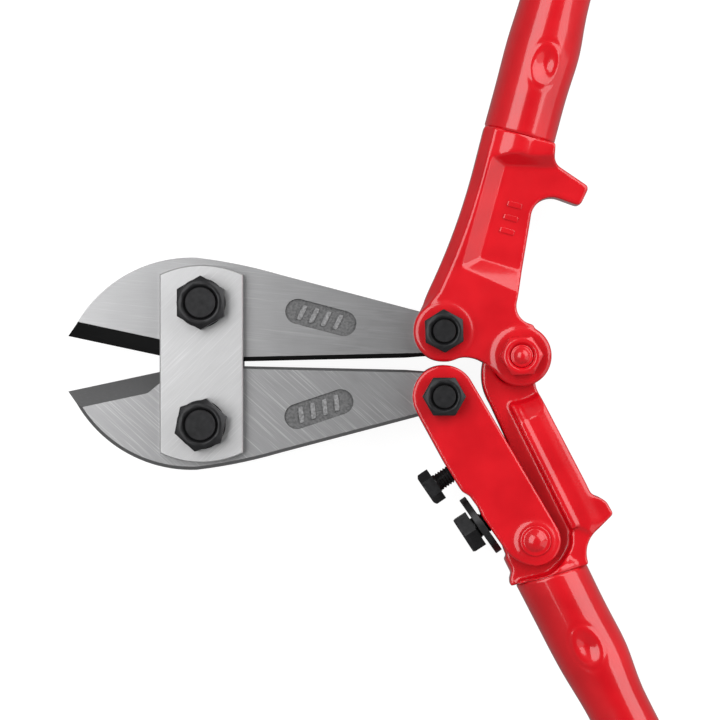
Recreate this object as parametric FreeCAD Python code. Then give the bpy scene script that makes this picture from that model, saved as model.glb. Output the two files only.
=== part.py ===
"""Compound-action bolt cutters, lying open on their side.

X runs from the jaw tips towards the handles, Y across the tool, Z is its thickness. Everything is drawn
about the point midway between the jaw bolts, on the mid-plane, and moved at the end so that the
origin is at the centre of the bottom of the whole tool's box.
"""
import math
import os
import FreeCAD, Part

UP = FreeCAD.Vector(0, 0, 1)

# Clearances
pin_clearance = 0.05
thread_clearance = 0.03
plate_gap = 0.1
slot_gap = 0.15
free_gap = 0.45
touch_gap = 0.1
lock_hole_rest = 1.5

# Jaws and link plates
jaw_thickness = 8.0
jaw_bolt_half_pitch = 16.1
bearing_radius = 16.0
jaw_bolt_radius = 4.0
jaw_tail_radius = 6.3
jaw_tip_reach = 35.8
jaw_inner_near = (11.4, 0.65)
jaw_inner_far = (54.0, 1.6)
jaw_back = (((58.6, 13.7), 75), ((20.7, 23.7), 76), ((9.8, 26.4), 80), ((-1.4, 28.2), 92), ((-19.5, 24.0), 115),
            ((-33.3, 10.6), 147))
upper_bevel = 4.3
lower_bevel = 4.9
upper_bevel_end = -0.5
lower_bevel_end = 3.0
bevel_end_slope = 1.9
edge_flat = 0.3
inner_relief = 1.2
inner_back_relief = 0.7
outer_relief = 0.9
relief_start = 11.0
mark_depth = 0.6
mark_radius = 3.35
plate_thickness = 4.0
plate_half_width = 11.0
plate_corner_y = 23.6
plate_end_y = 26.1
plate_chamfer = 0.25

# Pivots of the toggle linkage, in the fully open pose
jaw_tail_x = 64.2
jaw_tail_y = 8.65
toggle = (84.6, 2.1)
link_end = (88.4, -46.8)
toggle_swing = 127.4
upper_swing = -65.0
lower_swing = 51.5
adjust_swing = 1.2
arm_bolt_radius = 3.0

# Forgings
cheek_thickness = 4.5
eye_radius = 8.15
boss_radius = 7.4
boss_height = 0.4
slot_floor_y = 16.4
panel_half = 5.6
rail_inset = 2.8
rail_core = 4.9
rail_side = -18.0
rib_half = 8.3
ledge_half = 7.6
ledge_inset = 3.4
ledge_slope_side = 27.0
ledge_low = (106.5, -41.4)
ramp_start = (85.6, -7.6)
ramp_length = 7.0
flank_half = 6.8
head_radius = 7.6
link_end_radius = 6.8
pocket_gap = 2.9
collar_step = 0.25
collar_length = 9.5
lip_rise = 0.5
lip_width = 2.0
link_head_radius = 8.35
link_side = 30.3
rib_width = 1.9
rib_top = (81.9, -11.6)
rib_foot = (98.0, -43.9)
link_boss_radius = 5.0
slot_length = 120.0
slot_width = 60.0
toggle_clearance = 0.35
tang_length = 30.0
flank_top = (76.5, -10.7)
flank_foot = (81.0, -20.5)
right_side = [(88.9, -6.6), (101.9, -31.6), ((103.2, -34.2), (105.6, -35.4)), (107.4, -36.6), (109.2, -39.8),
              (105.2, -43.8), ((102.5, -47.6), (102.3, -52.0)), (104.0, -56.0)]

# Handle tubes and grips
tube_mouth_radius = 9.75
tube_radius = 8.5
tube_taper = 38.0
tube_wall = 1.6
tube_length = 184.0
tube_overrun = 6.0
upper_mouth = (84.4, 60.9)
upper_angle = 75.0
lower_mouth = (92.9, -56.0)
lower_angle = -63.3
lower_mouth_tilt = -10.5
dimple_depth = 1.1
dimple_radius = 9.0
upper_dimple = 19.3
lower_dimple = 21.0
grip_length = 118.0
grip_cap = 4.0
grip_flange = 5.0
grip_flange_rise = 1.6

# Fasteners
m8_flats = 13.0
m8_nut = 6.5
m8_head = 5.3
flange_nut_flats = 12.4
flange_nut_radius = 6.5
flange_nut_flange = 1.2
m6_flats = 10.0
m6_nut = 5.0
m6_head = 4.0
bolt_end = 0.9
nut_mouth = 0.7
crown_share = 0.9
toggle_recess = 0.3
toggle_tip = 2.2
toggle_tip_height = 1.2
rivet_radius = 3.0
rivet_flange = 4.1
rivet_flange_height = 0.5
rivet_dome = 1.3
adjuster_radius = 2.5
adjuster_flats = 8.0
adjuster_head = 3.5
adjuster_angle = 34.3
adjuster_start = (59.5, -33.9)
lock_angle = 33.0
lock_start = (69.5, -46.0)
lock_head = 4.0
lock_length = 18.5
washer_radius = 8.6
washer_thickness = 1.9
washer_clearance = 0.3
washer_seat = 0.6
washer_angle = 35.0

# Worked out from the sizes above
jaw_half = jaw_thickness / 2
plate_low = jaw_half + plate_gap
plate_high = plate_low + plate_thickness
slot_half = jaw_half + slot_gap
cheek_half = slot_half + cheek_thickness
boss_half = cheek_half + boss_height
collar_radius = tube_mouth_radius - collar_step
rest_drop = plate_high + m8_head
grip_radius = rest_drop
upper_pin = (jaw_tail_x, jaw_tail_y)
lower_pin = (jaw_tail_x, -jaw_tail_y)
upper_bolt = (0.0, jaw_bolt_half_pitch)
lower_bolt = (0.0, -jaw_bolt_half_pitch)


def point(xy, z=0.0):
    return FreeCAD.Vector(xy[0], xy[1], z)


def heading(degrees):
    return FreeCAD.Vector(math.cos(math.radians(degrees)), math.sin(math.radians(degrees)), 0)


def polar(centre, radius, degrees):
    spot = point(centre) + heading(degrees) * radius
    return (spot.x, spot.y)


def spun(xy, degrees):
    """The plan vector xy turned about the origin."""
    turned = heading(degrees) * xy[0] + heading(degrees + 90) * xy[1]
    return (turned.x, turned.y)


def about(centre, xy, degrees):
    """The plan point xy turned about a centre."""
    shift = spun((xy[0] - centre[0], xy[1] - centre[1]), degrees)
    return (centre[0] + shift[0], centre[1] + shift[1])


def bearing(start, end):
    return math.degrees(math.atan2(end[1] - start[1], end[0] - start[0]))


def outline(steps):
    """Closed wire: each step is a point to go straight to, or (via, end) for an arc."""
    here = point(steps[0])
    edges = []
    for step in steps[1:] + steps[:1]:
        if isinstance(step[0], tuple):
            via, end = point(step[0]), point(step[1])
            edges.append(Part.Arc(here, via, end).toShape())
        else:
            end = point(step)
            if here.isEqual(end, 1e-7):
                continue
            edges.append(Part.LineSegment(here, end).toShape())
        here = end
    return Part.Wire(edges)


def prism(wire, low, high):
    face = Part.Face(wire)
    face.translate(UP * low)
    return face.extrude(UP * (high - low))


def slab(wire, half):
    return prism(wire, -half, half)


def disc(centre, radius, low, high):
    return Part.makeCylinder(radius, high - low, point(centre, low), UP)


def pin(centre, radius, half):
    return disc(centre, radius, -half, half)


def hexagon(flats, height, base, axis, turn):
    """Hexagonal bar on an axis, one corner turned by an angle from the axis's own side direction."""
    corner_radius = flats / math.sqrt(3)
    side = UP.cross(axis) if abs(axis.z) < 0.5 else FreeCAD.Vector(1, 0, 0)
    other = axis.cross(side)
    corners = []
    for index in range(6):
        angle = math.radians(turn + 60 * index)
        corners.append(base + (side * math.cos(angle) + other * math.sin(angle)) * corner_radius)
    return Part.Face(Part.makePolygon(corners + corners[:1])).extrude(axis * height)


def chamfered(bar, flats, height, base, axis):
    """Cuts the corners of a hexagonal bar's outer end to the usual 30 degree cone."""
    corner = 1.001 * flats / math.sqrt(3)
    crown = crown_share * flats / 2
    drop = (corner - crown) * math.tan(math.radians(30))
    shank = Part.makeCylinder(corner, height - drop, base, axis)
    cone = Part.makeCone(corner, crown, drop, base + axis * (height - drop), axis)
    return bar.common(shank.fuse(cone))


def hex_bar(flats, height, base, axis, turn):
    return chamfered(hexagon(flats, height, base, axis, turn), flats, height, base, axis)


def hex_nut(centre, seat, flats, height, radius, turn):
    base = point(centre, seat)
    bore = radius + thread_clearance
    mouth = Part.makeCone(bore, bore + nut_mouth, nut_mouth, base + UP * (height - nut_mouth), UP)
    nut = hex_bar(flats, height, base, UP, turn)
    return nut.cut(Part.makeCylinder(bore, height, base, UP)).cut(mouth)


def flange_nut(centre, seat, radius, turn):
    nut = hex_nut(centre, seat, flange_nut_flats, m8_nut, radius, turn)
    ring = disc(centre, flange_nut_radius, seat, seat + flange_nut_flange)
    return nut.fuse(ring.cut(disc(centre, radius + thread_clearance, seat, seat + flange_nut_flange)))


def hex_bolt(centre, seat, flats, head, radius, end, turn):
    """Bolt with its head under the part and its end standing out above the nut."""
    base = point(centre, -seat)
    top = hex_bar(flats, head, base, -UP, turn)
    return top.fuse(Part.makeCylinder(radius, end + seat, base, UP))


# Motion of the linkage
def closing():
    """How far a jaw turns while the arms swing from fully open to almost in line."""
    upper_reach = math.dist(toggle, upper_pin)
    lower_reach = math.dist(toggle, lower_pin)
    open_angle = bearing(toggle, lower_pin) % 360 - bearing(toggle, upper_pin) % 360
    closed_angle = math.radians(open_angle + toggle_swing)
    spread = math.sqrt(upper_reach ** 2 + lower_reach ** 2
                       - 2 * upper_reach * lower_reach * math.cos(closed_angle))
    arm = math.dist(upper_bolt, upper_pin)
    return math.degrees(math.asin((spread / 2 - jaw_bolt_half_pitch) / arm)) - bearing(upper_bolt, upper_pin)


jaw_swing = closing()


def toggle_path(count=17):
    """Where the toggle bolt goes, seen from the lower arm, when every piece turns in constant ratio."""
    path = []
    for index in range(count):
        share = index / (count - 1)
        upper_tail = about(upper_bolt, upper_pin, jaw_swing * share)
        lower_tail = about(lower_bolt, lower_pin, -jaw_swing * share)
        upper_arm_end = spun((toggle[0] - upper_pin[0], toggle[1] - upper_pin[1]), upper_swing * share)
        lower_arm_end = spun((toggle[0] - lower_pin[0], toggle[1] - lower_pin[1]), lower_swing * share)
        gap = (upper_tail[0] + upper_arm_end[0] - lower_tail[0] - lower_arm_end[0],
               upper_tail[1] + upper_arm_end[1] - lower_tail[1] - lower_arm_end[1])
        shift = spun(gap, -lower_swing * share)
        path.append((toggle[0] + shift[0], toggle[1] + shift[1]))
    return path


# Head
def link_plate(front):
    wire = outline([(-plate_half_width, -plate_corner_y),
                    ((0, -plate_end_y), (plate_half_width, -plate_corner_y)),
                    (plate_half_width, plate_corner_y),
                    ((0, plate_end_y), (-plate_half_width, plate_corner_y))])
    low, high = (plate_low, plate_high) if front else (-plate_high, -plate_low)
    plate = prism(wire, low, high)
    outer = high if front else low
    rim = [edge for edge in plate.Edges if all(abs(v.Point.z - outer) < 1e-6 for v in edge.Vertexes)]
    plate = plate.makeChamfer(plate_chamfer, rim)
    for centre in (upper_bolt, lower_bolt):
        plate = plate.cut(pin(centre, jaw_bolt_radius + pin_clearance, rest_drop))
    return plate


def jaw_outline(inset):
    """Upper jaw: cutting edge, round bearing heel, inner edge, tail, and back drawn in by an inset."""
    normal = heading(90 - jaw_swing)
    tip_y = jaw_bolt_half_pitch - (bearing_radius - normal.x * jaw_tip_reach) / normal.y
    heel = polar(upper_bolt, bearing_radius, -90 - jaw_swing)
    heel_middle = polar(upper_bolt, bearing_radius, -90 - jaw_swing / 2)
    heel_end = polar(upper_bolt, bearing_radius, -88)
    tail_low = jaw_tail_y - jaw_tail_radius
    back = [polar(xy, -inset, outward) for xy, outward in jaw_back]
    return outline([(-jaw_tip_reach, tip_y), heel, (heel_middle, heel_end), jaw_inner_near,
                    jaw_inner_far, (jaw_tail_x, tail_low),
                    ((jaw_tail_x + jaw_tail_radius, jaw_tail_y), (jaw_tail_x, jaw_tail_y + jaw_tail_radius)),
                    back[0], back[1], (back[2], back[3]), (back[4], back[5])])


def bevel_tool(side, width, run_end):
    """Removes the grind along the upper jaw's cutting edge on one face, with its slanting run-out."""
    along = heading(180 - jaw_swing)
    inward = heading(90 - jaw_swing)
    start = point(polar(upper_bolt, bearing_radius, -90 - jaw_swing)) + along * run_end
    flat = edge_flat / 2
    rise = jaw_half + 0.5
    past = 2.0
    reach = width * (rise - flat) / (jaw_half - flat)
    corners = []
    for depth, height in ((-past, flat), (0, flat), (reach, rise), (-past, rise)):
        corners.append(start + inward * depth + along * (bevel_end_slope * depth) + UP * side * height)
    return Part.Face(Part.makePolygon(corners + corners[:1])).extrude(along * jaw_tip_reach * 2)


def inner_relief_tool(side, width):
    """Removes one face's corner along the upper jaw's inner edge, from the plates to the tail."""
    slope = (jaw_inner_far[1] - jaw_inner_near[1]) / (jaw_inner_far[0] - jaw_inner_near[0])
    past = 1.0
    edge_y = jaw_inner_near[1] + slope * (relief_start - jaw_inner_near[0])
    corners = []
    for depth, height in ((-past, jaw_half - width - past), (width + past, jaw_half + past),
                          (-past, jaw_half + past)):
        corners.append(point((relief_start, edge_y + depth), side * height))
    wedge = Part.Face(Part.makePolygon(corners + corners[:1]))
    run = jaw_tail_x + jaw_tail_radius - relief_start
    return wedge.extrude(point((run, slope * run)))


def mark_pocket(near, far):
    """Sunk oval with round ends for a size mark, on the front face."""
    low = jaw_half - mark_depth
    high = jaw_half + 1
    angle = bearing(near, far)
    wire = outline([polar(near, mark_radius, angle - 90), polar(far, mark_radius, angle - 90),
                    (polar(far, mark_radius, angle), polar(far, mark_radius, angle + 90)),
                    polar(near, mark_radius, angle + 90),
                    (polar(near, mark_radius, angle + 180), polar(near, mark_radius, angle - 90))])
    return prism(wire, low, high)


def jaw(upper):
    """Both jaws are one forging; the lower one is turned over, so its reliefs show on the other side."""
    full, drawn_in = jaw_outline(0), jaw_outline(outer_relief)
    blank = prism(full, outer_relief - jaw_half, jaw_half)
    full.translate(UP * (outer_relief - jaw_half))
    drawn_in.translate(UP * -jaw_half)
    blank = blank.fuse(Part.makeLoft([drawn_in, full], True, True)).removeSplitter()
    blank = blank.cut(inner_relief_tool(1, inner_relief)).cut(inner_relief_tool(-1, inner_back_relief))
    width, run_end = (upper_bevel, upper_bevel_end) if upper else (lower_bevel, lower_bevel_end)
    for side in (1, -1):
        blank = blank.cut(bevel_tool(side, width, run_end))
    if not upper:
        blank.rotate(FreeCAD.Vector(0, 0, 0), FreeCAD.Vector(1, 0, 0), 180)
    bolt, tail = (upper_bolt, upper_pin) if upper else (lower_bolt, lower_pin)
    pocket = mark_pocket((25.5, 13.9), (37.7, 10.7)) if upper else mark_pocket((25.3, -14.0), (36.9, -10.1))
    blank = blank.cut(pin(bolt, jaw_bolt_radius + pin_clearance, jaw_thickness))
    blank = blank.cut(pin(tail, arm_bolt_radius + pin_clearance, jaw_thickness))
    return blank.cut(pocket)


# Handle tubes and grips
def past_mouth(mouth, angle, length):
    """A wide block that starts at the mouth plane and runs towards the handle's end."""
    width = 4 * tube_mouth_radius + length
    block = Part.makeBox(length, width, width, FreeCAD.Vector(0, -width / 2, -width / 2))
    block.rotate(FreeCAD.Vector(0, 0, 0), UP, angle)
    block.translate(point(mouth))
    return block


def along_handle(mouth, angle, radius, start, length):
    return Part.makeCylinder(radius, length, point(polar(mouth, start, angle)), heading(angle))


def tube_core(mouth, angle, inset):
    """Solid of the tube's taper and straight run, drawn in by an inset."""
    slope = (tube_mouth_radius - tube_radius) / tube_taper
    start = point(polar(mouth, -tube_overrun, angle))
    taper = Part.makeCone(tube_mouth_radius + slope * tube_overrun - inset, tube_radius - inset,
                          tube_taper + tube_overrun, start, heading(angle))
    straight = along_handle(mouth, angle, tube_radius - inset, tube_taper, tube_length - tube_taper)
    return taper.fuse(straight)


def handle_tube(mouth, angle, tilt, dimple):
    tube = tube_core(mouth, angle, 0).cut(tube_core(mouth, angle, tube_wall))
    tube = tube.common(past_mouth(mouth, angle + tilt, tube_length * 2))
    wall_radius = tube_mouth_radius - (tube_mouth_radius - tube_radius) * dimple / tube_taper
    lift = wall_radius + dimple_radius - dimple_depth
    for side in (1, -1):
        tube = tube.cut(Part.makeSphere(dimple_radius, point(polar(mouth, dimple, angle), side * lift)))
    return tube


def tang(mouth, angle):
    """Tapered spigot of the forging inside the tube."""
    core = tube_core(mouth, angle, tube_wall + pin_clearance)
    return core.common(along_handle(mouth, angle, tube_mouth_radius, -tube_overrun, tube_overrun + tang_length))


def collared(shape, mouth, angle, tilt):
    """The forging with its round collar, cut square at the tube's mouth, and its tang."""
    end = past_mouth(mouth, angle + tilt, tang_length)
    return shape.cut(end).fuse(tang(mouth, angle))


def grip(mouth, angle):
    start = tube_length + grip_cap - grip_length
    sleeve = along_handle(mouth, angle, grip_radius - grip_flange_rise, start, grip_length)
    sleeve = sleeve.fuse(along_handle(mouth, angle, grip_radius, start, grip_flange))
    end = start + grip_length - grip_flange
    sleeve = sleeve.fuse(along_handle(mouth, angle, grip_radius, end, grip_flange))
    return sleeve.cut(along_handle(mouth, angle, tube_radius + pin_clearance, start, grip_length - grip_cap))


# Upper handle
def panel_tool(side):
    """Sunk panel with sloping walls, open towards the stop lug."""
    floor = [(80.4, 52.6), (92.2, 51.9), (112, 53.5), (112, 30), (84.6, 24.9), (73.7, 27.9)]
    brim = [(76.0, 55.8), (92.8, 56.3), (112, 58), (112, 22), (82.8, 17.4), (67.4, 25.0)]
    wires = []
    for corners, z in ((floor, panel_half), (brim, collar_radius)):
        spots = [point(corner, side * z) for corner in corners]
        wires.append(Part.makePolygon(spots + spots[:1]))
    return Part.makeLoft(wires, True, True)


def upper_arm_outline(inset):
    """Side view of the upper arm, with its long left rail drawn in by an inset."""
    rail = [polar(xy, inset, rail_side) for xy in ((60.3, 19.6), (68.4, 39.4), (72.5, 53.2), (75.2, 63.8))]
    return outline([
        (57.4, 12.6), rail[0], (rail[1], rail[2]), rail[3],
        (93.8, 58.8), (93.6, 54.9), ((94.0, 53.4), (95.1, 52.2)), (101.9, 47.6), ((102.5, 46.9), (102.3, 45.8)),
        (100.9, 42.9), ((100.3, 42.2), (99.2, 42.2)), (95.4, 43.6), ((89.7, 43.1), (87.3, 38.6)),
        (83.7, 17.0), ((84.4, 12.3), (88.2, 10.4)), (84.6, 2.1), (77.4, -2.2), ((71.2, 1.6), (65.6, 0.5)),
        (58.6, 8.0)])


def sloped_slab(drawn, inset, core, half):
    """Slab of a drawn outline whose two faces are drawn in by an inset, from a core thickness up."""
    shape = slab(drawn(0), core)
    for side in (1, -1):
        foot, top = drawn(0), drawn(inset)
        foot.translate(UP * side * core)
        top.translate(UP * side * half)
        shape = shape.fuse(Part.makeLoft([foot, top], True, True))
    return shape.removeSplitter()


def upper_arm():
    shape = sloped_slab(upper_arm_outline, rail_inset, rail_core, cheek_half)
    for centre in (upper_pin, toggle):
        shape = shape.fuse(pin(centre, eye_radius, cheek_half)).fuse(pin(centre, boss_radius, boss_half))
    shape = shape.fuse(along_handle(upper_mouth, upper_angle, collar_radius, -collar_length, collar_length))
    for side in (1, -1):
        shape = shape.cut(panel_tool(side))
    shape = collared(shape, upper_mouth, upper_angle, 0)
    slot = Part.makeBox(slot_length, slot_width, 2 * slot_half,
                        FreeCAD.Vector(0, slot_floor_y - slot_width, -slot_half))
    shape = shape.cut(slot)
    for centre in (upper_pin, toggle):
        shape = shape.cut(pin(centre, arm_bolt_radius + pin_clearance, rest_drop))
    return shape.removeSplitter()


# Adjusting link
def link_outline():
    return outline([
        polar(lower_pin, link_head_radius, link_side), polar(link_end, link_end_radius, link_side),
        (polar(link_end, link_end_radius, -30), polar(link_end, link_end_radius, -90)),
        ((84.2, -52.4), (80.4, -49.2)), (74.3, -40.4), (73.6, -38.6), (71.0, -35.0), (69.0, -33.9),
        (64.3, -26.3), polar(lower_pin, link_head_radius, 211),
        (polar(lower_pin, link_head_radius, 120), polar(lower_pin, link_head_radius, link_side))])


def link_bridge():
    """Web that joins the two cheeks and carries the adjusting screw's thread."""
    return slab(outline([(55.6, -22.5), (65.2, -38.4), (74.6, -32.3), (65.2, -16.6)]), slot_half)


def adjusting_link():
    cheeks = slab(link_outline(), cheek_half)
    inside = slab(link_outline(), slot_half)
    shape = cheeks.cut(inside).fuse(inside.common(link_bridge()))
    boss = pin(link_end, link_boss_radius, boss_half).cut(pin(link_end, link_boss_radius, slot_half))
    shape = shape.fuse(boss)
    thread = Part.makeCylinder(adjuster_radius + thread_clearance, adjuster_flank(), point(adjuster_start),
                               heading(adjuster_angle))
    shape = shape.cut(thread)
    shape = shape.cut(pin(lower_pin, arm_bolt_radius + pin_clearance, rest_drop))
    return shape.cut(pin(link_end, rivet_radius, rest_drop))


def dome(centre, base, side, radius, height):
    """Low round cap on the plane at a height, bulging up or down."""
    ball = (radius ** 2 + height ** 2) / (2 * height)
    sphere = Part.makeSphere(ball, point(centre, base + side * (height - ball)))
    return sphere.common(Part.makeCylinder(radius, height, point(centre, base), UP * side))


def link_rivet():
    """Pin of the link's lower pivot with a flanged dome at each end."""
    top = boss_half + rivet_flange_height
    shape = pin(link_end, rivet_radius, top)
    for side in (1, -1):
        base = point(link_end, side * boss_half)
        shape = shape.fuse(Part.makeCylinder(rivet_flange, rivet_flange_height, base, UP * side))
        shape = shape.fuse(dome(link_end, side * top, side, rivet_radius, rivet_dome))
    return shape.removeSplitter()


# Lower handle
def adjuster_flank():
    """Distance along the adjusting screw from its head's end face to the lower arm's flank."""
    flank = bearing(flank_top, flank_foot) + 90
    gap = point(flank_top) - point(adjuster_start)
    return gap.dot(heading(flank)) / heading(adjuster_angle).dot(heading(flank))


def pocket_wall():
    """Edge of the sunk pocket round the link's lower end, from the rib down to the collar's left side."""
    radius = link_end_radius + pocket_gap
    return [(98.0, -39.6), (polar(link_end, radius, -8), polar(link_end, radius, -70)), (84.2, -57.6)]


def strip(start, end, width):
    """Outline of a straight band to the right of a line down the arm, round at its upper end."""
    along = bearing(start, end)
    side = along + 90
    crest = polar(polar(start, width / 2, side), width / 2, along + 180)
    return outline([start, end, polar(end, width, side), polar(start, width, side), (crest, start)])


def ledge_outline(inset):
    """Raised band beside the rib, with its right edge drawn in by an inset and its foot by half as much."""
    up = bearing(rib_foot, rib_top)
    foot = (right_side[0], right_side[1], ledge_low)
    top, middle, low = [polar(xy, -inset, ledge_slope_side) for xy in foot]
    return outline([rib_line(0), top, middle, polar(low, inset / 2, up), polar((103.4, -45.6), inset / 2, up),
                    polar(rib_line(1), inset / 2, up)])


def rib_line(share):
    """A spot on the middle line of the rib, from its top to its foot."""
    middle = (rib_top[0] + (rib_foot[0] - rib_top[0]) * share, rib_top[1] + (rib_foot[1] - rib_top[1]) * share)
    return polar(middle, rib_width / 2, bearing(rib_top, rib_foot) + 90)


def ramp_tool(side, low, high):
    """Clears the neck above a slope that rises down the arm from one height to another."""
    along = heading(bearing(rib_top, rib_foot))
    across = UP.cross(along)
    width = 4 * link_head_radius
    start = point(ramp_start) - across * (width / 2)
    corners = []
    for run, height in ((-width, low), (0, low), (ramp_length, high), (ramp_length, rest_drop),
                        (-width, rest_drop)):
        corners.append(start + along * run + UP * side * height)
    return Part.Face(Part.makePolygon(corners + corners[:1])).extrude(across * width)


def lower_arm():
    web = slab(outline([(77.6, 6.3), (84.6, 9.0), (88.5, -4.6)] + right_side + [
        (82.0, -62.0), (81.8, -57.2), (82.5, -54.4), (80.3, -49.7), (78.6, -44.6), (75.9, -40.1), (78.4, -36.2),
        (80.4, -33.0), (82.0, -26.0), flank_foot, flank_top, ((74.3, -2.0), (77.6, 6.3))]), jaw_half)
    web = web.fuse(pin(toggle, head_radius, jaw_half))
    pocket_radius = link_end_radius + pocket_gap
    flank = slab(outline([rib_line(0)] + right_side + [
        (82.0, -62.0), pocket_wall()[-1], polar(link_end, pocket_radius, -70),
        (polar(link_end, pocket_radius, -30), polar(link_end, pocket_radius, 10)), rib_line(1)]), flank_half)
    flank = flank.fuse(sloped_slab(ledge_outline, ledge_inset, flank_half, ledge_half))
    rib = slab(strip(rib_top, rib_foot, rib_width), rib_half)
    for side in (1, -1):
        flank = flank.cut(ramp_tool(side, jaw_half, ledge_half))
        rib = rib.cut(ramp_tool(side, jaw_half + rib_half - ledge_half, rib_half))
    collar = along_handle(lower_mouth, lower_angle, collar_radius, -collar_length, collar_length + tube_overrun)
    mouth_angle = lower_angle + lower_mouth_tilt
    lip = along_handle(lower_mouth, mouth_angle, collar_radius + lip_rise, -lip_width, lip_width)
    collar = collar.fuse(lip)
    collar = collared(collar, lower_mouth, lower_angle, lower_mouth_tilt)
    pocket = outline([(60, -20)] + pocket_wall() + [(60, -57.6)])
    for low in (jaw_half, -2 * tube_mouth_radius):
        collar = collar.cut(prism(pocket, low, low + 2 * tube_mouth_radius - jaw_half))
    shape = web.fuse(flank).fuse(rib)
    shape = shape.cut(past_mouth(lower_mouth, mouth_angle, tang_length)).fuse(collar)
    reliefs = []
    for spot in toggle_path():
        for place in (spot, about(link_end, spot, adjust_swing)):
            reliefs.append(disc(place, eye_radius + free_gap, jaw_half, rest_drop))
            reliefs.append(disc(place, eye_radius + free_gap, -rest_drop, -jaw_half))
            reliefs.append(pin(place, arm_bolt_radius + toggle_clearance, rest_drop))
    for tool in reliefs:
        shape = shape.cut(tool)
    shape = shape.cut(pin(link_end, rivet_radius + pin_clearance, rest_drop))
    lock_hole = Part.makeCylinder(arm_bolt_radius + thread_clearance, lock_length + lock_hole_rest,
                                  point(polar(lock_start, lock_head, lock_angle)), heading(lock_angle))
    return shape.cut(lock_hole).removeSplitter()


# Screws and washer of the adjuster
def adjusting_screw():
    axis = heading(adjuster_angle)
    base = point(adjuster_start) + axis * adjuster_head
    flank = bearing(flank_top, flank_foot) + 90
    contact = adjuster_flank() - touch_gap
    centre = contact - adjuster_radius / axis.dot(heading(flank))
    shape = hex_bar(adjuster_flats, adjuster_head, base, -axis, 90)
    shape = shape.fuse(Part.makeCylinder(adjuster_radius, centre - adjuster_head, base, axis))
    return shape.fuse(Part.makeSphere(adjuster_radius, point(adjuster_start) + axis * centre))


def lock_screw():
    axis = heading(lock_angle)
    base = point(lock_start) + axis * lock_head
    shape = hex_bar(m6_flats, lock_head, base, -axis, 0)
    return shape.fuse(Part.makeCylinder(arm_bolt_radius, lock_length, base, axis))


def lock_washer():
    middle = polar(lock_start, lock_head + washer_seat + washer_thickness / 2, lock_angle)
    axis = heading(washer_angle)
    start = point(middle) - axis * (washer_thickness / 2)
    ring = Part.makeCylinder(washer_radius, washer_thickness, start, axis)
    return ring.cut(Part.makeCylinder(arm_bolt_radius + washer_clearance, washer_thickness, start, axis))


def build():
    """All pieces by name, about the point midway between the jaw bolts."""
    m8_end = plate_high + m8_nut + bolt_end
    m6_end = boss_half + m6_nut + bolt_end
    toggle_end = boss_half + m6_nut - toggle_recess
    link_face = cheek_half + m6_nut + bolt_end
    pieces = {
        "front_link_plate": link_plate(True),
        "back_link_plate": link_plate(False),
        "upper_jaw": jaw(True),
        "lower_jaw": jaw(False),
        "upper_arm": upper_arm(),
        "adjusting_link": adjusting_link(),
        "link_rivet": link_rivet(),
        "lower_arm": lower_arm(),
        "adjusting_screw": adjusting_screw(),
        "lock_screw": lock_screw(),
        "lock_washer": lock_washer(),
        "upper_handle_tube": handle_tube(upper_mouth, upper_angle, 0, upper_dimple),
        "lower_handle_tube": handle_tube(lower_mouth, lower_angle, lower_mouth_tilt, lower_dimple),
        "upper_grip": grip(upper_mouth, upper_angle),
        "lower_grip": grip(lower_mouth, lower_angle),
    }
    for name, centre, turn in (("upper_jaw", upper_bolt, 90), ("lower_jaw", lower_bolt, 78)):
        pieces[name + "_bolt"] = hex_bolt(centre, plate_high, m8_flats, m8_head, jaw_bolt_radius, m8_end, turn)
        pieces[name + "_nut"] = flange_nut(centre, plate_high, jaw_bolt_radius, turn)
    for name, centre, seat, end, turn in (("upper_arm", upper_pin, boss_half, m6_end, 92),
                                          ("toggle", toggle, boss_half, toggle_end, 3),
                                          ("link", lower_pin, cheek_half, link_face, 0)):
        pieces[name + "_bolt"] = hex_bolt(centre, seat, m6_flats, m6_head, arm_bolt_radius, end, turn)
        pieces[name + "_nut"] = hex_nut(centre, seat, m6_flats, m6_nut, arm_bolt_radius, turn)
    tip = dome(toggle, toggle_end, 1, toggle_tip, toggle_tip_height)
    pieces["toggle_bolt"] = pieces["toggle_bolt"].fuse(tip)
    return pieces


def origin_of(pieces):
    """Centre of the bottom of the box round every piece."""
    boxes = [piece.optimalBoundingBox(False) for piece in pieces.values()]
    low_x, high_x = min(box.XMin for box in boxes), max(box.XMax for box in boxes)
    low_y, high_y = min(box.YMin for box in boxes), max(box.YMax for box in boxes)
    return FreeCAD.Vector((low_x + high_x) / 2, (low_y + high_y) / 2, min(box.ZMin for box in boxes))


def main():
    pieces = build()
    origin = origin_of(pieces)
    os.makedirs("parts", exist_ok=True)
    for name, shape in pieces.items():
        shape.translate(-origin)
        shape.exportStep(f"parts/{name}.step")
        print(name, "solids", len(shape.Solids), "valid", shape.isValid())
    print("origin", tuple(round(value, 4) for value in origin))


if __name__ == "__main__":
    main()
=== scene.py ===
import math

import bmesh
import bpy
from mathutils import Matrix, Vector


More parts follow.
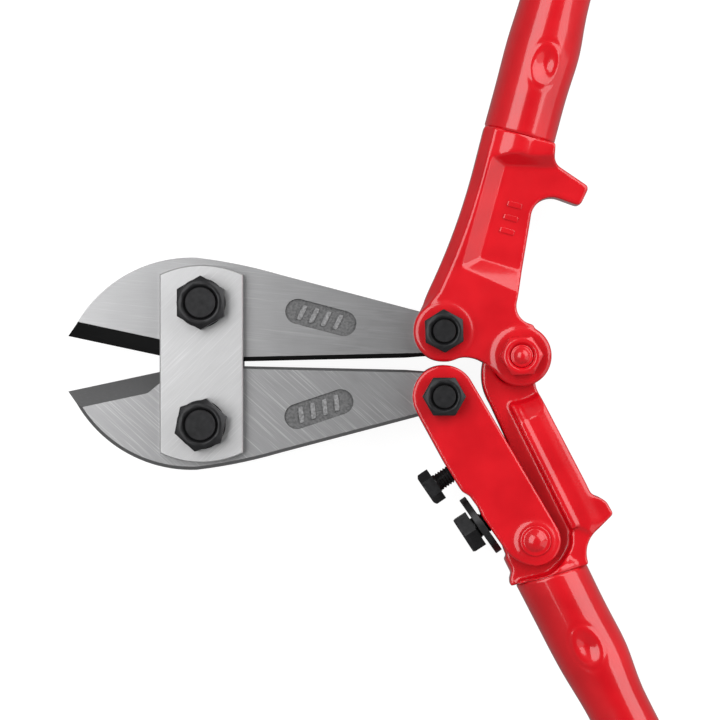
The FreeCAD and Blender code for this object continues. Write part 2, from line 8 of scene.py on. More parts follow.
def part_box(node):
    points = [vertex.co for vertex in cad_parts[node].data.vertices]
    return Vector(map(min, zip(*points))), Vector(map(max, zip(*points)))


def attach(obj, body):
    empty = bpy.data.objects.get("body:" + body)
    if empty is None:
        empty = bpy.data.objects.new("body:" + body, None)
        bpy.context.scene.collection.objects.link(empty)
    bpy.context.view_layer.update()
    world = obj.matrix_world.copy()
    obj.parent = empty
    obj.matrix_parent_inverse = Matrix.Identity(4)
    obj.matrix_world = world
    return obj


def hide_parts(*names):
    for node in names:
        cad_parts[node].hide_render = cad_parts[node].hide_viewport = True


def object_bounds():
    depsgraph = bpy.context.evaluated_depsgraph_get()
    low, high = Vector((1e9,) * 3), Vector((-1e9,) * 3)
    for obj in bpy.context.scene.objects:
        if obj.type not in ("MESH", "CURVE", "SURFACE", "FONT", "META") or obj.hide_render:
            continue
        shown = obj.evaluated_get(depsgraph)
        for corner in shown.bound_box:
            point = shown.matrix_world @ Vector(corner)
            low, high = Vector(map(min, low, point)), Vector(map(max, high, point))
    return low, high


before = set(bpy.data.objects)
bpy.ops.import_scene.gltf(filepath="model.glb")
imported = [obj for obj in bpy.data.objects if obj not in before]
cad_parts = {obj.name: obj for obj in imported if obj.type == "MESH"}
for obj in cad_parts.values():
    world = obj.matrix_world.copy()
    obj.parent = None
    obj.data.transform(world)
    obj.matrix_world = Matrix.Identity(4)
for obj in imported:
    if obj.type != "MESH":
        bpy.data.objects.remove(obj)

bl_info = {
    "name": "Bolt cutters",
    "version": (1, 0, 0),
    "blender": (4, 5, 0),
    "location": "View3D > Sidebar > Bolt cutters",
    "description": "Finishes compound-action bolt cutters: castings, steel, fasteners, tubes and grips",
    "category": "Object",
}

MM = 0.001
CAD_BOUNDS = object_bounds()
FRONT_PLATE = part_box("front_link_plate")
BACK_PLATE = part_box("back_link_plate")
HEAD = Vector(((FRONT_PLATE[0].x + FRONT_PLATE[1].x) / 2,
               (FRONT_PLATE[0].y + FRONT_PLATE[1].y) / 2,
               (FRONT_PLATE[1].z + BACK_PLATE[0].z) / 2))

# Jaws: height of the face over the middle plane, depth of the sunk mark, and the ends of the run of painted
# shading along a jaw
JAW_FACE = 4.0
MARK_DEPTH = 0.6
JAW_TIP_X = -36
JAW_TAIL_X = 70

# Least upward part of the normal of a jaw's level faces and of its ground bevels
LEVEL_NORMAL = 0.95
BEVEL_NORMAL = 0.3

# Largest angle, in degrees, between faces that are one flat face, and between faces of one smooth curve
FLAT_ANGLE = 2
EDGE_ANGLE = 28

# Grid size for the small painted pieces, in millimetres
SMALL_GRAIN = 0.2

# Handle tubes, in millimetres: first the taper behind the mouth, then the mouth's lip and its leaning end,
# the runs of the rings, the bulge that the crimp makes, and the crimp's dimple with its bowl and rim as shares
TUBE_SIDES = 128
TAPER_LENGTH = 38.0
DRAW_START = 14
DRAW_LENGTH = 26
EVEN_SHARE = 0.35
SWELL_LENGTH = 40
MOUTH_CLEARANCE = 0.12
LIP_DEPTH = 0.3
LIP_LENGTH = 0.55
LEAN_LENGTH = 14
MOUTH_RUNS = [0.0, 0.12, 0.3, 0.55]
FINE_START = 0.9
FINE_STEP = 0.45
FINE_STEPS = 100
COARSE_STEP = 4
HALF_BULGE = 0.35
BULGE_PAST_DIMPLE = 5
BULGE_LENGTH = 8
DIMPLE_HALF_WIDTH = 3.8
DIMPLE_HALF_LENGTH = 5.7
DIMPLE_RIM = 0.12
BOWL_REACH = 1.05
RIM_AT = 1.12
RIM_HALF_WIDTH = 0.23

# Screws, in millimetres
SCREW_SIDES = 96
THREAD_DEPTH_SHARE = 0.54
STEPS_PER_TURN = 12
HEAD_EDGE = 0.12
THREAD_CLEARANCE = 0.04

# Grips, in millimetres
GRIP_SIDES = 96
GRIP_LENGTH = 118.0
GRIP_PAST_TUBE = 4.0
FIRST_RIB = 14
RIB_SPACING = 5.6
RIB_CIRCLE = 11.35
RIB_RADIUS = 1.0

# Stage: the view's middle in millimetres, then lengths in metres
VIEW_MIDDLE = (42, 1)
FLOOR_REACH = 3.0
CAMERA_DISTANCE = 1.0
CAMERA_FIELD = 0.192
CAMERA_REACH = 50
# Each softbox: side it leans to and lean off the vertical in degrees, distance, width, length and glow
SOFTBOXES = (
    ("key_softbox", 160, 30, 0.9, 0.6, 1.0, 4.0),
    ("right_softbox", 34, 55, 1.1, 0.95, 1.2, 3.3),
    ("side_softbox", -22, 68, 1.1, 1.2, 0.7, 1.0),
)
# The room's light: upward part of the direction, and the strength there
OVERHEAD = (0.97, 0.1)
LOW_WALLS = (0.6, 0.28)


# Places. Sizes are in millimetres from the point midway between the jaw bolts, on the middle plane.
def spot(x, y, z=0.0):
    return HEAD + Vector((x, y, z)) * MM


def heading(degrees):
    return Vector((math.cos(math.radians(degrees)), math.sin(math.radians(degrees)), 0))


def handle_matrix(mouth, angle):
    """Local Z runs along the handle, local X across it in the plan, local Y points up."""
    along = heading(angle)
    across = heading(angle - 90)
    columns = Matrix((across, Vector((0, 0, 1)), along)).transposed().to_4x4()
    return Matrix.Translation(spot(*mouth)) @ columns


# Pieces
def new_piece(name, mesh):
    piece = bpy.data.objects.new(name, mesh)
    bpy.context.scene.collection.objects.link(piece)
    return piece


def welded_copy(node, name):
    """A copy of a CAD piece with its loose triangles joined up."""
    work = bmesh.new()
    work.from_mesh(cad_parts[node].data)
    bmesh.ops.remove_doubles(work, verts=work.verts, dist=1e-6)
    work.verts.index_update()
    mesh = bpy.data.meshes.new(name)
    mesh.from_pydata([vertex.co.copy() for vertex in work.verts], [],
                     [[vertex.index for vertex in face.verts] for face in work.faces])
    work.free()
    return new_piece(name, mesh)


def settle(piece):
    """Turns a piece's modifiers into plain mesh."""
    graph = bpy.context.evaluated_depsgraph_get()
    graph.update()
    mesh = bpy.data.meshes.new_from_object(piece.evaluated_get(graph))
    piece.modifiers.clear()
    piece.data = mesh
    return piece


def forged_copy(node, name, grain, passes):
    """A CAD piece with the soft edges of a painted forging: rebuilt on a fine grid and smoothed."""
    piece = welded_copy(node, name)
    remesh = piece.modifiers.new("rebuild", "REMESH")
    remesh.mode = "VOXEL"
    remesh.voxel_size = grain * MM
    remesh.use_smooth_shade = True
    smooth = piece.modifiers.new("soften", "SMOOTH")
    smooth.factor = 0.5
    smooth.iterations = passes
    return settle(piece)


def crisp_copy(node, name, edge=0.0):
    """A CAD piece shaded smooth on its curves, with its real edges kept sharp or broken by a small bevel."""
    piece = welded_copy(node, name)
    if edge:
        work = bmesh.new()
        work.from_mesh(piece.data)
        bmesh.ops.dissolve_limit(work, angle_limit=math.radians(FLAT_ANGLE),
                                 verts=work.verts, edges=work.edges)
        work.to_mesh(piece.data)
        work.free()
        bevel = piece.modifiers.new("edges", "BEVEL")
        bevel.width = edge * MM
        bevel.segments = 1
        bevel.limit_method = "ANGLE"
        bevel.angle_limit = math.radians(EDGE_ANGLE)
        settle(piece)
    shade(piece, EDGE_ANGLE)
    return piece


def shade(piece, angle):
    """Smooth shading, with edges over the angle kept sharp."""
    for face in piece.data.polygons:
        face.use_smooth = True
    piece.data.set_sharp_from_angle(angle=math.radians(angle))


def place(piece, body, slot, *nodes):
    """Says which body a piece rides on and which CAD nodes it replaces; the slot argument is not used."""
    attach(piece, body)
    if nodes:
        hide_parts(*nodes)
    return piece


def paint(piece, *materials):
    piece.data.materials.clear()
    for material in materials:
        piece.data.materials.append(material)


# Shader groups
def socket(group, name, way, kind, value=None):
    made = group.interface.new_socket(name=name, in_out=way, socket_type=kind)
    if value is not None:
        made.default_value = value


def grain_group():
    """Fine grain or brushing that follows the piece: a mask from 0 to 1."""
    group = bpy.data.node_groups.get("fine_grain")
    if group:
        return group
    group = bpy.data.node_groups.new("fine_grain", "ShaderNodeTree")
    socket(group, "Turn", "INPUT", "NodeSocketFloat", 0.0)
    socket(group, "Stretch", "INPUT", "NodeSocketVector", (1, 1, 1))
    socket(group, "Scale", "INPUT", "NodeSocketFloat", 500.0)
    socket(group, "Detail", "INPUT", "NodeSocketFloat", 3.0)
    socket(group, "Low", "INPUT", "NodeSocketFloat", 0.3)
    socket(group, "High", "INPUT", "NodeSocketFloat", 0.7)
    socket(group, "Mask", "OUTPUT", "NodeSocketFloat")
    nodes, links = group.nodes, group.links
    given = nodes.new("NodeGroupInput")
    result = nodes.new("NodeGroupOutput")
    place_on = nodes.new("ShaderNodeTexCoord")
    turn = nodes.new("ShaderNodeVectorRotate")
    turn.rotation_type = "Z_AXIS"
    stretch = nodes.new("ShaderNodeVectorMath")
    stretch.operation = "MULTIPLY"
    noise = nodes.new("ShaderNodeTexNoise")
    scale_to = nodes.new("ShaderNodeMapRange")
    links.new(place_on.outputs["Object"], turn.inputs["Vector"])
    links.new(given.outputs["Turn"], turn.inputs["Angle"])
    links.new(turn.outputs["Vector"], stretch.inputs[0])
    links.new(given.outputs["Stretch"], stretch.inputs[1])
    links.new(stretch.outputs["Vector"], noise.inputs["Vector"])
    links.new(given.outputs["Scale"], noise.inputs["Scale"])
    links.new(given.outputs["Detail"], noise.inputs["Detail"])
    links.new(noise.outputs["Fac"], scale_to.inputs["Value"])
    links.new(given.outputs["Low"], scale_to.inputs["From Min"])
    links.new(given.outputs["High"], scale_to.inputs["From Max"])
    links.new(scale_to.outputs["Result"], result.inputs["Mask"])
    return group


# Materials
def blank_material(name):
    """A material with its nodes and its main shader."""
    material = bpy.data.materials.new(name)
    material.use_nodes = True
    tree = material.node_tree
    return material, tree, tree.nodes["Principled BSDF"]


def add_grain(tree, turn=0.0, stretch=(1, 1, 1), scale=500.0, detail=3.0, low=0.3, high=0.7):
    node = tree.nodes.new("ShaderNodeGroup")
    node.node_tree = grain_group()
    node.inputs["Turn"].default_value = math.radians(turn)
    node.inputs["Stretch"].default_value = stretch
    node.inputs["Scale"].default_value = scale
    node.inputs["Detail"].default_value = detail
    node.inputs["Low"].default_value = low
    node.inputs["High"].default_value = high
    return node.outputs["Mask"]


def mix_colors(tree, mask, low, high):
    mix = tree.nodes.new("ShaderNodeMix")
    mix.data_type = "RGBA"
    tree.links.new(mask, mix.inputs["Factor"])
    for value, name in ((low, "A"), (high, "B")):
        target = next(item for item in mix.inputs if item.name == name and item.type == "RGBA")
        if isinstance(value, tuple):
            target.default_value = (*value, 1)
        else:
            tree.links.new(value, target)
    return next(item for item in mix.outputs if item.type == "RGBA")


def spread(tree, mask, low, high):
    """A mask turned into values from low to high."""
    node = tree.nodes.new("ShaderNodeMapRange")
    node.inputs["To Min"].default_value = low
    node.inputs["To Max"].default_value = high
    tree.links.new(mask, node.inputs["Value"])
    return node.outputs["Result"]


def bump(tree, shader, mask, strength, depth_mm):
    node = tree.nodes.new("ShaderNodeBump")
    node.inputs["Strength"].default_value = strength
    node.inputs["Distance"].default_value = depth_mm * MM
    tree.links.new(mask, node.inputs["Height"])
    tree.links.new(node.outputs["Normal"], shader.inputs["Normal"])


def tint(color, share):
    return tuple(part * share for part in color)


def enamel(name, color):
    """Thick gloss enamel over a forging, with the slight waviness of dipped paint."""
    material, tree, shader = blank_material(name)
    patches = add_grain(tree, scale=90, detail=2, low=0.35, high=0.65)
    shade_color = mix_colors(tree, patches, tint(color, 0.86), color)
    tree.links.new(shade_color, shader.inputs["Base Color"])
    fine = add_grain(tree, scale=230, detail=3, low=0.2, high=0.8)
    tree.links.new(spread(tree, patches, 0.3, 0.38), shader.inputs["Roughness"])
    bump(tree, shader, fine, 0.5, 0.11)
    shader.inputs["Coat Weight"].default_value = 0.9
    shader.inputs["Coat Roughness"].default_value = 0.1
    shader.inputs["Specular IOR Level"].default_value = 0.15
    return material


def ground_steel(name, color, turn, scratch, painted_shading=(1.0, 1.0)):
    """Steel with fine brush marks in one direction, with painted light and shade that scales a jaw's colour
    from its tip to its tail.
    """
    material, tree, shader = blank_material(name)
    brush = add_grain(tree, turn=turn, stretch=(0.035, 1, 1), scale=5200, detail=4, low=0.25, high=0.75)
    coarse = add_grain(tree, turn=turn + 4, stretch=(0.02, 1, 1), scale=2600, detail=2, low=0.56, high=0.74)
    cloud = add_grain(tree, scale=55, detail=3, low=0.3, high=0.7)
    marks = mix_colors(tree, brush, tint(color, 0.9), color)
    deep = mix_colors(tree, spread(tree, coarse, 0, scratch), marks, tint(color, 1.5))
    clouded = mix_colors(tree, spread(tree, cloud, 0, 0.3), deep, tint(color, 0.86))
    # Painted light and shade: the colour is scaled by a pair of factors running from the jaw's tip to its tail
    place_on = tree.nodes.new("ShaderNodeTexCoord")
    parts = tree.nodes.new("ShaderNodeSeparateXYZ")
    along = tree.nodes.new("ShaderNodeMapRange")
    along.inputs["From Min"].default_value = spot(JAW_TIP_X, 0).x
    along.inputs["From Max"].default_value = spot(JAW_TAIL_X, 0).x
    along.inputs["To Min"].default_value, along.inputs["To Max"].default_value = painted_shading
    tree.links.new(place_on.outputs["Object"], parts.inputs["Vector"])
    tree.links.new(parts.outputs["X"], along.inputs["Value"])
    shaded = tree.nodes.new("ShaderNodeVectorMath")
    shaded.operation = "SCALE"
    tree.links.new(clouded, shaded.inputs[0])
    tree.links.new(along.outputs["Result"], shaded.inputs["Scale"])
    tree.links.new(shaded.outputs["Vector"], shader.inputs["Base Color"])
    tree.links.new(spread(tree, brush, 0.32, 0.42), shader.inputs["Roughness"])
    bump(tree, shader, brush, 0.25, 0.01)
    shader.inputs["Metallic"].default_value = 0.85
    return material


def black_oxide(name, color):
    """Oiled black finish on fasteners, faintly mottled."""
    material, tree, shader = blank_material(name)
    mottle = add_grain(tree, scale=700, detail=4, low=0.3, high=0.75)
    worn = mix_colors(tree, mottle, tint(color, 0.95), tint(color, 1.5))
    tree.links.new(worn, shader.inputs["Base Color"])
    tree.links.new(spread(tree, mottle, 0.3, 0.36), shader.inputs["Roughness"])
    bump(tree, shader, mottle, 0.15, 0.02)
    shader.inputs["Metallic"].default_value = 0.4
    shader.inputs["Specular IOR Level"].default_value = 0.25
    return material


def cast_floor(name, color):
    """Coarse cast skin, on a jaw's forged sides and in its sunk mark."""
    material, tree, shader = blank_material(name)
    lumps = add_grain(tree, scale=1500, detail=4, low=0.35, high=0.7)
    tree.links.new(mix_colors(tree, lumps, tint(color, 0.5), color), shader.inputs["Base Color"])
    tree.links.new(spread(tree, lumps, 0.55, 0.75), shader.inputs["Roughness"])
    bump(tree, shader, lumps, 0.8, 0.12)
    shader.inputs["Metallic"].default_value = 0.6
    return material


def moulded_grip(name, color):
    """Soft black vinyl with a fine matt grain."""
    material, tree, shader = blank_material(name)
    grain = add_grain(tree, scale=1800, detail=3, low=0.3, high=0.7)
    tree.links.new(mix_colors(tree, grain, tint(color, 0.8), tint(color, 1.3)), shader.inputs["Base Color"])
    tree.links.new(spread(tree, grain, 0.5, 0.62), shader.inputs["Roughness"])
    bump(tree, shader, grain, 0.4, 0.03)
    return material


def floor_material(color):
    material, tree, shader = blank_material("studio_floor")
    soft = add_grain(tree, scale=12, detail=1, low=0.0, high=1.0)
    tree.links.new(mix_colors(tree, soft, tint(color, 0.995), color), shader.inputs["Base Color"])
    shader.inputs["Roughness"].default_value = 0.9
    shader.inputs["Specular IOR Level"].default_value = 0.0
    path = tree.nodes.new("ShaderNodeLightPath")
    glow = mix_colors(tree, path.outputs["Is Camera Ray"], (0.1, 0.1, 0.1), (1, 1, 1))
    tree.links.new(glow, shader.inputs["Emission Color"])
    shader.inputs["Emission Strength"].default_value = 0.93
    return material


def finish_named(name):
    """The finish of that name, made once from the panel's colours."""
    made = bpy.data.materials.get(name)
    if made:
        return made
    colors = bpy.context.scene.cutter_finish
    jaw = tuple(colors.jaw)
    makers = {
        "red_paint": lambda: enamel("red_paint", tuple(colors.paint)),
        "plate_steel": lambda: ground_steel("plate_steel", tuple(colors.plate), turn=-48, scratch=0.3),
        # Painted shading on the jaw faces: the upper face is painted brighter at the tip and much darker at
        # the tail, and the lower face darker at the tail
        "upper_jaw_steel": lambda: ground_steel(
            "upper_jaw_steel", jaw, turn=2, scratch=0.3, painted_shading=(1.16, 0.6)),
        "lower_jaw_steel": lambda: ground_steel(
            "lower_jaw_steel", jaw, turn=38, scratch=0.9, painted_shading=(0.98, 0.76)),
        # Painted shade on the cutting bevels: both are the same ground steel, but the upper bevel is painted
        # nearly black and the lower bevel a darker grey than the jaw's face
        "upper_blade_painted_shade": lambda: ground_steel(
            "upper_blade_painted_shade", tint(jaw, 0.055), turn=12, scratch=0.2),
        "lower_blade_painted_shade": lambda: ground_steel(
            "lower_blade_painted_shade", tint(jaw, 0.68), turn=12, scratch=0.2),
        "forged_side": lambda: cast_floor("forged_side", tint(jaw, 0.22)),
        "mark_floor": lambda: cast_floor("mark_floor", tint(jaw, 0.47)),
        "mark_top": lambda: cast_floor("mark_top", tint(jaw, 0.84)),
        "black_fastener": lambda: black_oxide("black_fastener", tuple(colors.fastener)),
        "black_grip": lambda: moulded_grip("black_grip", tuple(colors.grip)),
    }
    return makers[name]()


# Settings that a user may change
def color_setting(name, about, value):
    return bpy.props.FloatVectorProperty(name=name, description=about, default=value, subtype="COLOR",
                                         size=3, min=0, max=1)


class CutterFinish(bpy.types.PropertyGroup):
    paint: color_setting("Paint", "Colour of the enamel", (0.6, 0.003, 0.009))
    plate: color_setting("Link plate", "Colour of the ground link plates", (0.55, 0.55, 0.555))
    jaw: color_setting("Jaws", "Colour of the jaws' faces", (0.375, 0.375, 0.38))
    fastener: color_setting("Fasteners", "Colour of the black screws and nuts", (0.018, 0.018, 0.019))
    grip: color_setting("Grips", "Colour of the moulded grips", (0.02, 0.02, 0.021))
    floor: color_setting("Floor", "Colour of the studio floor", (0.16, 0.16, 0.16))


def length_setting(name, about, value):
    return bpy.props.FloatProperty(name=name, description=about + ", in millimetres", default=value)


class CutterSizes(bpy.types.PropertyGroup):
    casting_grain: length_setting("Casting grid", "Grid size for the painted castings", 0.36)
    casting_softness: bpy.props.IntProperty(
        name="Casting softness", description="Smoothing passes on the painted castings", default=18)
    broken_edge: length_setting("Broken edge", "Width of the small bevels on nuts and bolts", 0.16)
    tube_mouth: length_setting("Tube mouth radius", "Radius of a handle tube at the casting", 9.75)
    tube_radius: length_setting("Tube radius", "Radius of a handle tube along its run", 8.5)
    tube_length: length_setting("Tube length", "Length of a handle tube", 184.0)
    dimple_depth: length_setting("Dimple depth", "Depth of the crimp that holds a tube", 1.5)
    crimp_bulge: length_setting("Crimp bulge", "How far a crimp pushes the tube's sides out", 0.7)
    thread_pitch: length_setting("Thread pitch", "Pitch of the adjusting screw", 0.8)
    lock_pitch: length_setting("Lock screw pitch", "Pitch of the lock screw", 1.0)
    grip_ribs: bpy.props.IntProperty(name="Grip ribs", description="Ribs on each grip", default=16)


# Each handle: middle of its mouth, its heading, the lean of its cut end, the crimp's place along and
# across it, its radius past the crimp, the side that bulges fully, and the body it rides on
HANDLES = {
    "upper": {"mouth": (84.4, 60.9), "angle": 75.0, "tilt": 0.0, "dimple": (19.3, 1.5),
              "waist": 9.1, "full_side": 1, "body": "upper_handle"},
    "lower": {"mouth": (92.9, -56.0), "angle": -63.3, "tilt": -10.5, "dimple": (21.0, 0.2),
              "waist": 8.2, "full_side": -1, "body": "lower_handle"},
}


# Surfaces of revolution
def ring_mesh(name, rings):
    """A closed skin through rings of points; every ring has the same number of points."""
    count = len(rings[0])
    vertices = [point for ring in rings for point in ring]
    faces = []
    for row in range(len(rings) - 1):
        for index in range(count):
            after = (index + 1) % count
            faces.append((row * count + index, row * count + after,
                          (row + 1) * count + after, (row + 1) * count + index))
    faces.append(tuple(range(count))[::-1])
    faces.append(tuple(range((len(rings) - 1) * count, len(rings) * count)))
    mesh = bpy.data.meshes.new(name)
    mesh.from_pydata(vertices, [], faces)
    mesh.update()
    return mesh


def outward(mesh):
    """Turns a mesh's faces outwards."""
    work = bmesh.new()
    work.from_mesh(mesh)
    bmesh.ops.recalc_face_normals(work, faces=work.faces)
    work.to_mesh(mesh)
    work.free()


def eased(share):
    """A share from 0 to 1 that starts and ends gently."""
    share = min(max(share, 0), 1)
    return share * share * (3 - 2 * share)


# Handle tubes
def tube_radius_at(run, sizes, waist):
    """Radius of a tube: flared at the mouth, drawn in past the crimp, then straight."""
    start = sizes.tube_mouth - MOUTH_CLEARANCE
    if run <= TAPER_LENGTH:
        even = EVEN_SHARE * run / TAPER_LENGTH
        drawn = (1 - EVEN_SHARE) * eased((run - DRAW_START) / DRAW_LENGTH)
        return start + (waist - start) * (even + drawn)
    return waist + (sizes.tube_radius - waist) * eased((run - TAPER_LENGTH) / SWELL_LENGTH)


def dimple_drop(across, run, handle, sizes):
    """How far a point of the tube is pressed in at the crimp."""
    centre, side = handle["dimple"]
    far = math.hypot((across - side) / DIMPLE_HALF_WIDTH, (run - centre) / DIMPLE_HALF_LENGTH)
    if far >= RIM_AT + RIM_HALF_WIDTH:
        return 0.0
    bowl = sizes.dimple_depth * (1 - eased(far / BOWL_REACH))
    rim = DIMPLE_RIM * eased(1 - abs(far - RIM_AT) / RIM_HALF_WIDTH)
    return bowl - rim


def tube_rings(handle, sizes):
    """Rings of points along the tube, the first ones leaning with its cut end."""
    runs = MOUTH_RUNS + [FINE_START + FINE_STEP * step for step in range(FINE_STEPS)]
    coarse_start = runs[-1] + COARSE_STEP
    coarse_steps = int((sizes.tube_length - coarse_start) / COARSE_STEP)
    runs += [coarse_start + COARSE_STEP * step for step in range(coarse_steps)]
    runs.append(sizes.tube_length)
    lean = math.tan(math.radians(handle["tilt"]))
    rings = []
    for run in runs:
        base = tube_radius_at(run, sizes, handle["waist"])
        lip = LIP_DEPTH * (1 - eased(run / LIP_LENGTH))
        past = run - handle["dimple"][0] - BULGE_PAST_DIMPLE
        bulge = sizes.crimp_bulge * math.exp(-(past / BULGE_LENGTH) ** 2)
        ring = []
        for index in range(TUBE_SIDES):
            angle = 2 * math.pi * index / TUBE_SIDES
            share = 1.0 if math.cos(angle) * handle["full_side"] > 0 else HALF_BULGE
            radius = base - lip + bulge * share * math.cos(angle) ** 2
            across, up = radius * math.cos(angle), radius * math.sin(angle)
            shift = across * lean * (1 - eased(run / LEAN_LENGTH))
            drop = dimple_drop(across, run, handle, sizes)
            up -= math.copysign(drop * abs(math.sin(angle)) ** 0.5, up)
            ring.append((across * MM, up * MM, (run + shift) * MM))
        rings.append(ring)
    return rings


class CUTTER_OT_tubes(bpy.types.Operator):
    """Handle tubes, flared at the mouth and crimped on to the castings"""
    bl_idname = "cutter.tubes"
    bl_label = "Handle tubes"

    def execute(self, context):
        sizes = context.scene.cutter_sizes
        for side, handle in HANDLES.items():
            mesh = ring_mesh(side + "_tube", tube_rings(handle, sizes))
            mesh.transform(handle_matrix(handle["mouth"], handle["angle"]))
            outward(mesh)
            piece = new_piece(side + "_tube", mesh)
            shade(piece, 50)
            paint(piece, finish_named("red_paint"))
            place(piece, handle["body"], "red_enamel", side + "_handle_tube")
        return {"FINISHED"}


# Castings
class CUTTER_OT_castings(bpy.types.Operator):
    """Painted forgings of the two arms and the adjusting link, with the rivet, toggle bolt and nut"""
    bl_idname = "cutter.castings"
    bl_label = "Painted castings"

    def execute(self, context):
        sizes = context.scene.cutter_sizes
        grain, passes = sizes.casting_grain, sizes.casting_softness
        for node, body, pitch, soft in (
                ("upper_arm", "upper_handle", grain, passes),
                ("lower_arm", "lower_handle", grain, passes),
                ("adjusting_link", "adjusting_link", grain, passes),
                ("link_rivet", "adjusting_link", SMALL_GRAIN, 4),
                ("toggle_nut", "upper_handle", SMALL_GRAIN, 3),
                ("toggle_bolt", "upper_handle", SMALL_GRAIN, 3)):
            piece = forged_copy(node, node + "_painted", pitch, soft)
            paint(piece, finish_named("red_paint"))
            place(piece, body, "red_enamel", node)
        return {"FINISHED"}


# Steel
def jaw_slot(face):
    """Material slot of a jaw's face: ground face, ground edge, forged side or the floor of the sunk mark."""
    if abs(face.normal.z) > LEVEL_NORMAL:
        sunk = face.normal.z > 0 and face.center.z < spot(0, 0, JAW_FACE - MARK_DEPTH / 2).z
        return 3 if sunk else 0
    return 1 if abs(face.normal.z) > BEVEL_NORMAL else 2


class CUTTER_OT_steel(bpy.types.Operator):
    """Ground link plates and the two jaws with their cutting edges"""
    bl_idname = "cutter.steel"
    bl_label = "Plates and jaws"

    def execute(self, context):
        for side in ("front", "back"):
            node = side + "_link_plate"
            piece = crisp_copy(node, side + "_plate_ground")
            paint(piece, finish_named("plate_steel"))
            place(piece, "head_frame", "bright_steel", node)
        for side in ("upper", "lower"):
            node = side + "_jaw"
            piece = crisp_copy(node, node + "_ground")
            # The second slot, for the cutting bevels, gets the steel with painted shade
            paint(piece, finish_named(side + "_jaw_steel"), finish_named(side + "_blade_painted_shade"),
                  finish_named("forged_side"), finish_named("mark_floor"))
            for face in piece.data.polygons:
                face.material_index = jaw_slot(face)
            place(piece, node, "jaw_steel", node)
        return {"FINISHED"}


# Fasteners
class CUTTER_OT_fasteners(bpy.types.Operator):
    """Black bolts, nuts and washer"""
    bl_idname = "cutter.fasteners"
    bl_label = "Fasteners"

    def execute(self, context):
        edge = context.scene.cutter_sizes.broken_edge
        rides = {"upper_jaw": "head_frame", "lower_jaw": "head_frame", "upper_arm": "upper_handle",
                 "link": "adjusting_link"}
        for name, body in rides.items():
            for kind in ("bolt", "nut"):
                node = name + "_" + kind
                piece = crisp_copy(node, node + "_black", edge=edge)
                paint(piece, finish_named("black_fastener"))
                place(piece, body, "black_oxide", node)
        piece = crisp_copy("lock_washer", "lock_washer_black", edge=edge)
        paint(piece, finish_named("black_fastener"))
        place(piece, "lock_washer", "black_oxide", "lock_washer")
        return {"FINISHED"}


# Adjuster screws
def screw_rings(head, flats, shank, radius, pitch, tip):
    """Rings of points of a hexagon-head screw: local Z runs from the head's end face to the tip."""
    count = SCREW_SIDES
    depth = THREAD_DEPTH_SHARE * pitch

    def hex_radius(angle, inner):
        step = math.pi / 3
        local = (angle % step) - step / 2
        return min(flats / 2 / math.cos(local), inner)

    corner = flats / math.sqrt(3)
    rings = []
    for height, inner in ((0, 0.93 * flats / 2), (HEAD_EDGE, flats / 2),
                          (0.5, corner * 0.985), (0.65, corner),
                          (head - HEAD_EDGE, corner), (head, corner - HEAD_EDGE)):
        rings.append([(hex_radius(2 * math.pi * index / count, inner), height) for index in range(count)])
    rings.append([(radius - depth * 0.6, head)] * count)
    steps = int(shank / pitch * STEPS_PER_TURN)
    for step in range(steps + 1):
        run = shank * step / steps
        ring = []
        fade = eased(run / (1.2 * pitch)) * eased((shank - run) / pitch)
        for index in range(count):
            phase = (run / pitch - index / count) % 1
            groove = 1 - abs(2 * phase - 1)
            ring.append((radius - depth * groove * fade - THREAD_CLEARANCE, head + run))
        rings.append(ring)
    rings.append([(tip, head + shank + (radius - tip) * 0.6)] * count)
    points = []
    for ring in rings:
        points.append([(reach * math.cos(2 * math.pi * index / count) * MM,
                        reach * math.sin(2 * math.pi * index / count) * MM, height * MM)
                       for index, (reach, height) in enumerate(ring)])
    return points


def screw_piece(name, start, angle, turn, rings):
    """A screw that starts at its head's end face, points along an angle and is turned on its axis."""
    mesh = ring_mesh(name, rings)
    mesh.transform(handle_matrix(start, angle) @ Matrix.Rotation(math.radians(turn), 4, "Z"))
    outward(mesh)
    piece = new_piece(name, mesh)
    shade(piece, 24)
    paint(piece, finish_named("black_fastener"))
    return piece


class CUTTER_OT_adjuster(bpy.types.Operator):
    """Adjusting screw and lock screw with cut threads"""
    bl_idname = "cutter.adjuster"
    bl_label = "Adjuster screws"

    def execute(self, context):
        sizes = context.scene.cutter_sizes
        rings = screw_rings(head=3.5, flats=8.0, shank=19.0, radius=2.5, pitch=sizes.thread_pitch, tip=1.2)
        piece = screw_piece("adjusting_screw_threaded", start=(59.5, -33.9), angle=34.3, turn=0, rings=rings)
        place(piece, "adjusting_screw", "black_oxide", "adjusting_screw")
        rings = screw_rings(head=4.0, flats=10.0, shank=17.6, radius=3.0, pitch=sizes.lock_pitch, tip=2.2)
        piece = screw_piece("lock_screw_threaded", start=(69.5, -46.0), angle=33.0, turn=30, rings=rings)
        place(piece, "lock_screw", "black_oxide", "lock_screw")
        return {"FINISHED"}


